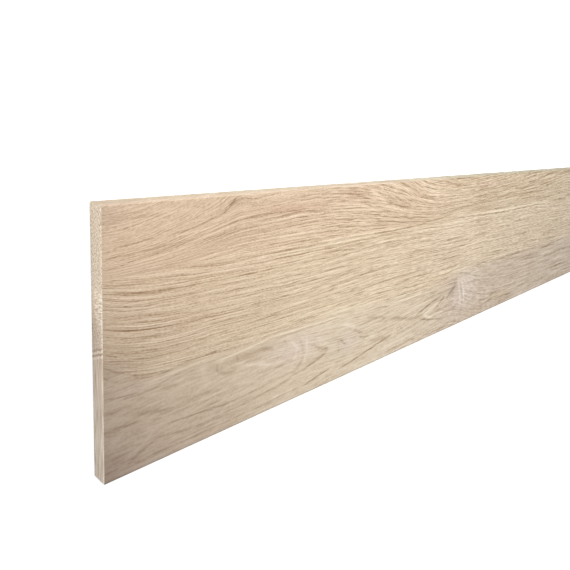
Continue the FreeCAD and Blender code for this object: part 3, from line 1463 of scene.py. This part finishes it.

        # Each noise lies round 0.5. What it is multiplied by was set part by part of the face.
        grit = self.GRIT.at(place.along, run)
        pores = (dash - 0.5) * (1.2 - zones.reach * 0.3)
        pores = pores + (pore - 0.5) * (1.4 - grain.in_bottom * 0.4 - zones.reach * 0.45)
        gritty = (grit - 0.5) * place.along.ease(*self.GRITTY) * (0.85 - grain.in_bottom * 0.35)
        pores = pores + gritty
        lines = 2.3 + zones.reach * 0.2 - zones.far * (1.0 - grain.in_top - grain.in_bottom) * 0.8
        tone = (streak - 0.5) * zones.calm * lines + pores * (1.0 - grain.in_bottom * 0.4)
        tone = tone * zones.fine
        rings = (early * 0.6 - late * 0.4) * (1.0 - grain.in_bottom * 0.75 - zones.bowl * 0.4)
        rings = rings * (1.0 - zones.still * 0.7)
        broad = 0.6 + zones.far * (0.1 + (grain.in_top + grain.in_bottom) * 0.7)
        tone = tone + rings + (band - 0.5) * broad * zones.calm
        near = place.along.ease(*self.LEFT_END) * grain.in_bottom
        spots = grain.in_bottom * 0.4 + zones.still * 0.5 + zones.swirl * 0.6 + near * 0.35
        tone = tone + (cloud - 0.5) * 0.25 + (mottle - 0.5) * spots
        vee = place.along.ease(*self.VEE_LEFT) * place.along.ease(*self.VEE_RIGHT)
        press = 1.0 + grain.in_bottom * (0.4 + vee * 0.35) + zones.bowl * 0.2
        drawn = self.strokes(place) * (0.7 + dash * 0.65) * press
        return tone + self.joint_line(place) + drawn, pores

    def ring_lines(self, grain: Grain) -> tuple[Wire, Wire]:
        """Draw a dark line at the start of each ring and a pale band at its end.

        Args:
            grain: The wood at a point.

        Returns:
            How strong the dark line and the pale band are.
        """
        share = grain.share
        early = share.ease(*self.DARK_FALL) * share.ease(*self.DARK_RISE)
        soft = share.ease(*self.SOFT_FALL) * share.ease(*self.SOFT_RISE)
        early = early.towards(soft, grain.in_bottom) * grain.force
        late = share.ease(*self.PALE_RISE) * share.ease(*self.PALE_FALL) * grain.force
        return early, late

    def zones(self, grain: Grain) -> Zones:
        """Find which traits of the figure a point has.

        Args:
            grain: The wood at the point.

        Returns:
            How much of each trait it has.
        """
        along = grain.place.along
        far = along.ease(*self.FAR)
        bowl = along.ease(*self.BOWL) * grain.in_top
        fine = 1.0 + far * 0.55 + bowl * 0.4
        calm = 1.0 - grain.in_bottom * (0.62 - far * 0.3 + along.ease(*self.LEFT_END) * 0.15)
        over_fan = grain.place.up - along * self.STILL_RISE
        still = over_fan.ease(*self.STILL_FOOT) * along.ease(*self.STILL)
        swirl = along.ease(*self.KNOT_LEFT) * along.ease(*self.KNOT_RIGHT) * grain.in_bottom
        calm = calm * (1.0 - still * 0.4 - swirl * 0.35)
        reach = along.ease(*self.PAST_FAN) * (1.0 - grain.in_bottom)
        return Zones(far, bowl, fine, calm, still, swirl, reach)

    def strokes(self, place: Place) -> Wire:
        """Draw the lines that stand out on the show face.

        Args:
            place: The point.

        Returns:
            Their tone, which is dark above 0 and pale below it.
        """
        wobble = self.WOBBLE.at(place.along, place.up)
        sway = self.SWAY.at(place.along, place.up)
        up = place.up + (wobble - 0.5) * self.WOBBLE_UP
        along = place.along + (sway - 0.5) * self.SWAY_ALONG
        pen = Pen()
        total: Term = 0.0
        for stroke in self.figure.strokes:
            total = pen.draw(stroke, along, up, total)
        return total * place.deep.ease(*self.STROKES_DEEP)

    def painted_corner_shade(self, place: Place) -> Wire:
        """Paint shade that darkens the wood towards the bottom corner of the left end, and darken a narrow
        band along the left end above its foot.

        Args:
            place: The point.

        Returns:
            How much of the painted shade shows there.
        """
        near_foot = (1.0 - (place.up / self.CORNER_SHADE_HEIGHT).power(1.3)).at_least(0.0)
        near_end = (place.along / -self.DARK_END_REACH).exp()
        near_end = near_end * place.up.ease(*self.DARK_END_FOOT)
        return (place.along / -self.CORNER_SHADE_REACH).exp() * near_foot * 0.8 + near_end * 0.13

    def end_tone(self, place: Place) -> Wire:
        """Draw the end grain: cut pores above, rays across the middle, streaks below.

        Args:
            place: The point.

        Returns:
            The tone, which is dark above 0 and pale below it.
        """
        side = place.along * 0.02
        speck = noise((place.up / 1.3, place.deep / 1.3, side + 400.0))
        streak = noise((place.up / 22.0, place.deep / 1.1, side + 440.0))
        wobble = noise((place.up / 6.0, place.deep / 5.0, side + 480.0))
        ray = noise((place.up / 0.95 + place.deep * 0.3, place.deep / 5.0, side + 620.0), detail=0.0)
        upper = place.up.ease(*self.UPPER_HALF)
        grains = (speck - 0.5) * (upper * 2.6 + 0.5)
        streaks = (streak - 0.5) * (1.0 - upper) * 2.9
        across = place.up.ease(*self.RAYS_FOOT) * place.up.ease(*self.RAYS_HEAD)
        rungs = (ray - 0.58) * across * place.deep.ease(*self.RAYS_DEEP)
        shade = (place.deep - 6.0) * place.up.ease(*self.SHADE_FOOT)
        shade = shade * place.up.ease(*self.SHADE_HEAD)
        bow = place.up - self.END_LINES_UP + place.deep * self.END_LINES_LEAN + (wobble - 0.5) * 3.0
        lines: Term = 0.0
        for below, half_width, line_tone in self.END_LINES:
            lines = ((bow + below).abs() / half_width).ease(1.0, 0.2) * line_tone + lines
        return grains * (1.0 - across * 0.5) + streaks + rungs * 3.0 + shade * 0.03 + lines * 0.5

    def joint_line(self, place: Place) -> Wire:
        """Draw the hairline of the upper joint, dark below and pale above.

        Args:
            place: The point.

        Returns:
            The line's tone, which is dark above 0 and pale below it.
        """
        over = place.up - self.figure.upper_joint
        dark, pale = (
            ((over - offset) / half_width).abs().ease(1.0, 0.0) * tone
            for offset, half_width, tone in (self.JOINT_DARK, self.JOINT_PALE)
        )
        shows = profile_at(self.JOINT_FAINTEST, (self.JOINT_SHOWS,), place.along)
        return (dark - pale) * shows

    def from_side(self, distance: Wire, length: float) -> Wire:
        """Give how far a place is from the nearer of two opposite sides, in millimetres."""
        half = length / MM / 2
        return half - (distance - half).abs()

    def painted_arris_highlight(self, place: Place) -> Wire:
        """Paint a highlight on the arrises of the show face.

        Args:
            place: The point.

        Returns:
            How much of an arris the point is on.
        """
        near_arris = (1.2 * self.arris / MM, 0.3 * self.arris / MM)
        from_end = self.from_side(place.along, self.size.length)
        on_ends = from_end.ease(*self.HIGHLIGHT_ALONG) * place.deep.ease(*self.HIGHLIGHT_DEEP)
        on_top = (self.size.height / MM - place.up).ease(*near_arris)
        on_top = on_top * place.deep.ease(*near_arris)
        return on_ends.at_least(on_top * 0.2) * 0.85

    def painted_foot_shade_and_grey_back(self, place: Place, on_end: Wire) -> Wire:
        """Paint a grey shade along the foot of the faces, and grey the back of the ends.

        Args:
            place: The point.
            on_end: Whether the point is on an end, as 0 to 1.

        Returns:
            How much of the grey shows there.
        """
        foot = place.up.ease(*self.FOOT_SHADE) * (1.0 - on_end) * 0.85
        back = (self.size.thickness / MM - place.deep).ease(*self.GREY_BACK) * on_end * 0.3
        return foot.at_least(back)

    def painted_edge_shade(self, place: Place) -> Wire:
        """Paint shade on the top edge, darker than the faces, stronger towards its back and further right.

        Args:
            place: The point.

        Returns:
            How much of the painted shade shows there.
        """
        edge = (self.size.height / MM - place.up).ease(*self.SKIN)
        pale = place.deep.ease(*self.PALE_FRONT) * place.along.ease(*self.PALE_LEFT)
        edge_shade = 0.5 + place.along.ease(*self.EDGE_SHADE_RIGHT) * 0.4
        return edge * edge_shade * (1.0 - pale * 0.9)


class Side(Enum):
    """The board's six sides, each with its axis, its direction and its place on the texture map."""

    SHOW_FACE = (2, 1, (0.004, 0.460, 0.996, 0.996))
    BACK_FACE = (2, -1, (0.004, 0.120, 0.996, 0.452))
    TOP_EDGE = (1, 1, (0.004, 0.084, 0.996, 0.112))
    BOTTOM_EDGE = (1, -1, (0.004, 0.048, 0.996, 0.076))
    LEFT_END = (0, -1, (0.004, 0.004, 0.496, 0.040))
    RIGHT_END = (0, 1, (0.504, 0.004, 0.996, 0.040))


@dataclass
class RiserBoard:
    """The board with its eased arrises and the relief of its grain.

    Attributes:
        size: The board's sizes.
        figure: The board's grain.
        arris: The radius of the eased arrises, in metres.
        relief: How deep the softest wood lies below the face, in metres.
        steps: How many points the mesh has along, up and through the board.
    """

    size: BoardSize
    figure: Figure
    arris: float = 0.7 * MM
    relief: float = 0.09 * MM
    steps: tuple[int, int, int] = (240, 172, 8)

    ARRIS_STEPS = 2
    SHARP = math.radians(9.0)
    MAP_NAME = "OFBake"

    def build(self) -> bpy.types.Object:
        """Make the board as one plain mesh and put it in place of its solid.

        Returns:
            The board's object.
        """
        oak = Oak(self.size, self.figure, self.arris).build()
        board = bpy.data.objects.new("oak_riser_board", bpy.data.meshes.new("oak_riser_board"))
        bpy.context.scene.collection.objects.link(board)
        modifier = board.modifiers.new("board_shape", "NODES")
        tree, sockets = self.shape_tree()
        modifier.node_group = tree
        values = {
            "Length": self.size.length,
            "Height": self.size.height,
            "Thickness": self.size.thickness,
            "Arris Radius": self.arris,
            "Relief": self.relief,
            "Finish": oak,
        }
        for name, value in values.items():
            modifier[sockets[name]] = value
        evaluated = board.evaluated_get(bpy.context.evaluated_depsgraph_get())
        mesh = bpy.data.meshes.new_from_object(evaluated)
        board.modifiers.remove(modifier)
        board.data = mesh
        self.lay_map(mesh)
        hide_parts(BOARD_NODE)
        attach(board, BODY)
        return board

    def shape_tree(self) -> tuple[bpy.types.NodeTree, dict[str, str]]:
        """Build the node tree that shapes the board.

        Returns:
            The tree, and the identifier of each of its named inputs.
        """
        tree = bpy.data.node_groups.new("board_shape", "GeometryNodeTree")
        sizes = ("Length", "Height", "Thickness", "Arris Radius", "Relief")
        kinds = {**dict.fromkeys(sizes, "NodeSocketFloat"), "Finish": "NodeSocketMaterial"}
        sockets = {}
        for name, kind in kinds.items():
            sockets[name] = tree.interface.new_socket(name, in_out="INPUT", socket_type=kind).identifier
        tree.interface.new_socket("Board", in_out="OUTPUT", socket_type="NodeSocketGeometry")
        inputs = tree.nodes.new("NodeGroupInput")
        given = {name: Wire(tree, inputs.outputs[name]) for name in kinds}
        lengths = (given["Length"], given["Height"], given["Thickness"])

        blank = tree.nodes.new("GeometryNodeMeshCube")
        tree.links.new(vector(tree, lengths), blank.inputs["Size"])
        for axis, count in zip("XYZ", self.steps):
            blank.inputs[f"Vertices {axis}"].default_value = count

        eased = tree.nodes.new("GeometryNodeSetPosition")
        tree.links.new(blank.outputs["Mesh"], eased.inputs["Geometry"])
        tree.links.new(self.eased_place(tree, lengths, given["Arris Radius"]), eased.inputs["Position"])

        grained = tree.nodes.new("GeometryNodeSetPosition")
        tree.links.new(eased.outputs["Geometry"], grained.inputs["Geometry"])
        tree.links.new(self.relief_offset(tree, given["Relief"]), grained.inputs["Offset"])

        geometry = self.shaded(tree, grained.outputs["Geometry"])
        realized = tree.nodes.new("GeometryNodeRealizeInstances")
        dressed = tree.nodes.new("GeometryNodeSetMaterial")
        output = tree.nodes.new("NodeGroupOutput")
        tree.links.new(geometry, realized.inputs["Geometry"])
        tree.links.new(realized.outputs["Geometry"], dressed.inputs["Geometry"])
        tree.links.new(given["Finish"].socket, dressed.inputs["Material"])
        tree.links.new(dressed.outputs["Geometry"], output.inputs["Board"])
        return tree, sockets

    def eased_place(
        self, tree: bpy.types.NodeTree, lengths: tuple[Wire, ...], radius: Wire
    ) -> bpy.types.NodeSocket:
        """Spread the blank's points over a box with quarter-round arrises.

        The outer rows of points are spaced so that each turns the arris by the same angle.

        Args:
            tree: The shape's tree.
            lengths: The board's length, height and thickness.
            radius: The arris's radius.

        Returns:
            The socket of the points' new places.
        """
        position = tree.nodes.new("GeometryNodeInputPosition")
        cores = []
        reaches = []
        turn = math.pi / 4 / self.ARRIS_STEPS
        for part, length, count in zip(split(tree, position.outputs[0]), lengths, self.steps):
            last = count - 1
            number = (part / length + 0.5) * float(last)
            number = number.math("ROUND")
            from_end = number.at_most(float(last) - number)
            flat = number.at_least(float(self.ARRIS_STEPS)).at_most(float(last - self.ARRIS_STEPS))
            share = (flat - float(self.ARRIS_STEPS)) / float(last - 2 * self.ARRIS_STEPS) - 0.5
            core = share * (length - radius * 2.0)
            rows_left = float(self.ARRIS_STEPS) - from_end.at_most(float(self.ARRIS_STEPS))
            reach = (rows_left * turn).math("TANGENT") * part.math("SIGN") * radius
            cores.append(core)
            reaches.append(reach)
        cores[2] = cores[2] + lengths[2] / 2.0

        outward = tree.nodes.new("ShaderNodeVectorMath")
        outward.operation = "NORMALIZE"
        tree.links.new(vector(tree, tuple(reaches)), outward.inputs[0])
        rounded = tree.nodes.new("ShaderNodeVectorMath")
        rounded.operation = "SCALE"
        tree.links.new(outward.outputs["Vector"], rounded.inputs[0])
        plug(tree, rounded.inputs["Scale"], radius)
        total = tree.nodes.new("ShaderNodeVectorMath")
        total.operation = "ADD"
        tree.links.new(vector(tree, tuple(cores)), total.inputs[0])
        tree.links.new(rounded.outputs["Vector"], total.inputs[1])
        return total.outputs["Vector"]

    def relief_offset(self, tree: bpy.types.NodeTree, relief: Wire) -> bpy.types.NodeSocket:
        """Sink the soft early wood of each ring a little below the face.

        Args:
            tree: The shape's tree.
            relief: How deep the softest wood lies.

        Returns:
            The socket of the points' moves.
        """
        position = tree.nodes.new("GeometryNodeInputPosition")
        normal = tree.nodes.new("GeometryNodeInputNormal")
        grain = self.figure.at(Place.read(tree, position.outputs[0], self.size))
        wave = ((grain.count * (2 * math.pi)).math("COSINE") + 1.0) / 2.0
        along_grain = 1.0 - split(tree, normal.outputs["Normal"])[0].abs()
        depth = wave * grain.force * along_grain * relief
        move = tree.nodes.new("ShaderNodeVectorMath")
        move.operation = "SCALE"
        tree.links.new(normal.outputs["Normal"], move.inputs[0])
        plug(tree, move.inputs["Scale"], depth * -1.0)
        return move.outputs["Vector"]

    def shaded(self, tree: bpy.types.NodeTree, geometry: bpy.types.NodeSocket) -> bpy.types.NodeSocket:
        """Shade the grain smooth and keep the arrises crisp.

        Args:
            tree: The shape's tree.
            geometry: The board's geometry.

        Returns:
            The shaded geometry's socket.
        """
        faces = tree.nodes.new("GeometryNodeSetShadeSmooth")
        faces.domain = "FACE"
        tree.links.new(geometry, faces.inputs["Geometry"])
        edges = tree.nodes.new("GeometryNodeSetShadeSmooth")
        edges.domain = "EDGE"
        tree.links.new(faces.outputs["Geometry"], edges.inputs["Geometry"])
        angle = tree.nodes.new("GeometryNodeInputMeshEdgeAngle")
        crisp = Wire(tree, angle.outputs["Unsigned Angle"]).above(self.SHARP)
        tree.links.new((1.0 - crisp).socket, edges.inputs["Shade Smooth"])
        return edges.outputs["Geometry"]

    def lay_map(self, mesh: bpy.types.Mesh) -> None:
        """Lay the six sides out on a texture map, stretched across the grain where detail is finest.

        Args:
            mesh: The board's mesh, which gets the map.
        """
        normals = np.empty(len(mesh.polygons) * 3)
        mesh.polygons.foreach_get("normal", normals)
        normals = normals.reshape(-1, 3)
        places = np.empty(len(mesh.vertices) * 3)
        mesh.vertices.foreach_get("co", places)
        corner_vertices = np.empty(len(mesh.loops), int)
        mesh.loops.foreach_get("vertex_index", corner_vertices)
        corner_counts = np.empty(len(mesh.polygons), int)
        mesh.polygons.foreach_get("loop_total", corner_counts)
        corner_faces = np.repeat(np.arange(len(mesh.polygons)), corner_counts)

        lengths = np.array((self.size.length, self.size.height, self.size.thickness))
        low = np.array((-self.size.length / 2, -self.size.height / 2, 0.0))
        shares = ((places.reshape(-1, 3) - low) / lengths)[corner_vertices]
        axes = np.abs(normals).argmax(axis=1)
        signs = np.sign(normals[np.arange(len(normals)), axes])
        spread = np.empty((len(corner_vertices), 2))
        for side in Side:
            axis, sign, (left, bottom, right, top) = side.value
            chosen = ((axes == axis) & (signs == sign))[corner_faces]
            across, upward = (other for other in range(3) if other != axis)
            spread[chosen, 0] = left + (right - left) * shares[chosen, across]
            spread[chosen, 1] = bottom + (top - bottom) * shares[chosen, upward]
        layer = mesh.uv_layers.new(name=self.MAP_NAME)
        layer.uv.foreach_set("vector", spread.astype(np.float32).ravel())


@dataclass(frozen=True)
class SoftLamp:
    """A soft rectangular studio lamp.

    Attributes:
        name: What the lamp is for.
        place: Where it hangs, in metres.
        aim: What it points at, in metres.
        width: How wide it is, in metres.
        power: How strong it is, in watts.
    """

    name: str
    place: tuple[float, float, float]
    aim: tuple[float, float, float]
    width: float
    power: float

    def hang(self) -> None:
        """Put the lamp in the scene."""
        light = bpy.data.lights.new(self.name, "AREA")
        light.size = self.width
        light.energy = self.power
        lamp = bpy.data.objects.new(self.name, light)
        lamp.location = self.place
        direction = Vector(self.aim) - Vector(self.place)
        lamp.rotation_euler = direction.to_track_quat("-Z", "Y").to_euler()
        lamp.visible_camera = False
        bpy.context.scene.collection.objects.link(lamp)


@dataclass(frozen=True)
class Viewpoint:
    """The photograph's camera.

    Attributes:
        place: Where it stands, in metres.
        forward: The way it looks.
        upward: The way that is up in the picture.
        lens: Its focal length in millimetres, on a sensor 36 mm wide.
    """

    place: tuple[float, float, float] = (-0.7663, 0.1731, 0.3172)
    forward: tuple[float, float, float] = (0.7015, -0.3217, -0.6360)
    upward: tuple[float, float, float] = (0.1707, 0.9422, -0.2883)
    lens: float = 35.59

    def stand(self) -> None:
        """Put the camera in the scene and look through it."""
        back = -Vector(self.forward).normalized()
        right = Vector(self.upward).cross(back).normalized()
        up = back.cross(right)
        data = bpy.data.cameras.new("viewpoint")
        data.lens = self.lens
        data.sensor_width = 36.0
        data.clip_start = 0.01
        camera = bpy.data.objects.new("viewpoint", data)
        turn = Matrix((right, up, back)).transposed().to_4x4()
        camera.matrix_world = Matrix.Translation(self.place) @ turn
        bpy.context.scene.collection.objects.link(camera)
        bpy.context.scene.camera = camera


@dataclass
class Studio:
    """The white studio: floor, surrounding light, lamps and camera.

    Attributes:
        floor_width: How wide the floor is, in metres.
        floor_colour: The floor's colour.
        floor_glow: The light added to the floor where it is seen, so that it shows white.
        surround: How strong the light from all round is.
        lamps: The lamps.
        viewpoint: The camera.
    """

    floor_width: float = 20.0
    floor_colour: Colour = (0.8, 0.8, 0.8, 1.0)
    floor_glow: float = 0.65
    surround: float = 0.45
    lamps: tuple[SoftLamp, ...] = (
        SoftLamp("key", (-0.3, 0.7, 0.8), (-0.3, 0.05, 0.0), 0.5, 8.0),
        SoftLamp("end_fill", (-1.7, 0.3, 0.2), (-0.6, 0.0, 0.0), 0.6, 5.5),
    )
    viewpoint: Viewpoint = Viewpoint()

    def build(self) -> None:
        """Set up everything but the board."""
        bpy.context.scene.view_settings.view_transform = "Standard"
        self.lay_floor()
        self.light_surround()
        for lamp in self.lamps:
            lamp.hang()
        self.viewpoint.stand()

    def seen(self, tree: bpy.types.NodeTree) -> Wire:
        """Find the rays that show a thing directly, in a mirror or through glass.

        Args:
            tree: The tree to add the nodes to.

        Returns:
            1 for such rays, and 0 for the light that falls on other things.
        """
        path = tree.nodes.new("ShaderNodeLightPath")
        camera, glossy, through = (
            Wire(tree, path.outputs[f"Is {kind} Ray"]) for kind in ("Camera", "Glossy", "Transmission")
        )
        return camera.at_least(glossy).at_least(through)

    def lay_floor(self) -> None:
        """Lay a pale floor that shows white and keeps the board's shadow."""
        half = self.floor_width / 2
        corners = [(-half, -half, 0.0), (half, -half, 0.0), (half, half, 0.0), (-half, half, 0.0)]
        mesh = bpy.data.meshes.new("floor")
        mesh.from_pydata(corners, [], [(0, 1, 2, 3)])
        floor = bpy.data.objects.new("floor", mesh)
        bpy.context.scene.collection.objects.link(floor)
        material = bpy.data.materials.new("white_floor")
        material.use_nodes = True
        tree = material.node_tree
        shader = tree.nodes["Principled BSDF"]
        shader.inputs["Base Color"].default_value = self.floor_colour
        shader.inputs["Roughness"].default_value = 1.0
        shader.inputs["Specular IOR Level"].default_value = 0.0
        shader.inputs["Emission Color"].default_value = (1.0, 1.0, 1.0, 1.0)
        glow = self.seen(tree) * self.floor_glow
        tree.links.new(glow.socket, shader.inputs["Emission Strength"])
        mesh.materials.append(material)

    def light_surround(self) -> None:
        """Give an even soft light from all round, which shows white."""
        world = bpy.data.worlds.new("white_surround")
        bpy.context.scene.world = world
        world.use_nodes = True
        tree = world.node_tree
        background = tree.nodes["Background"]
        background.inputs["Color"].default_value = (1.0, 1.0, 1.0, 1.0)
        strength = self.seen(tree) * (1.0 - self.surround) + self.surround
        tree.links.new(strength.socket, background.inputs["Strength"])


def main() -> None:
    """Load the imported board, dress it and set up the studio."""
    logging.basicConfig(level=logging.INFO, format="%(message)s")
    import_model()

    size = BoardSize.read()
    board = RiserBoard(size, OAK_FIGURE).build()
    LOG.info("%s: %d faces, riding on %s", board.name, len(board.data.polygons), BODY)
    studio = Studio()
    studio.build()
    LOG.info("studio: floor, surround, %d lamps and camera", len(studio.lamps))


if __name__ == "__main__":
    main()
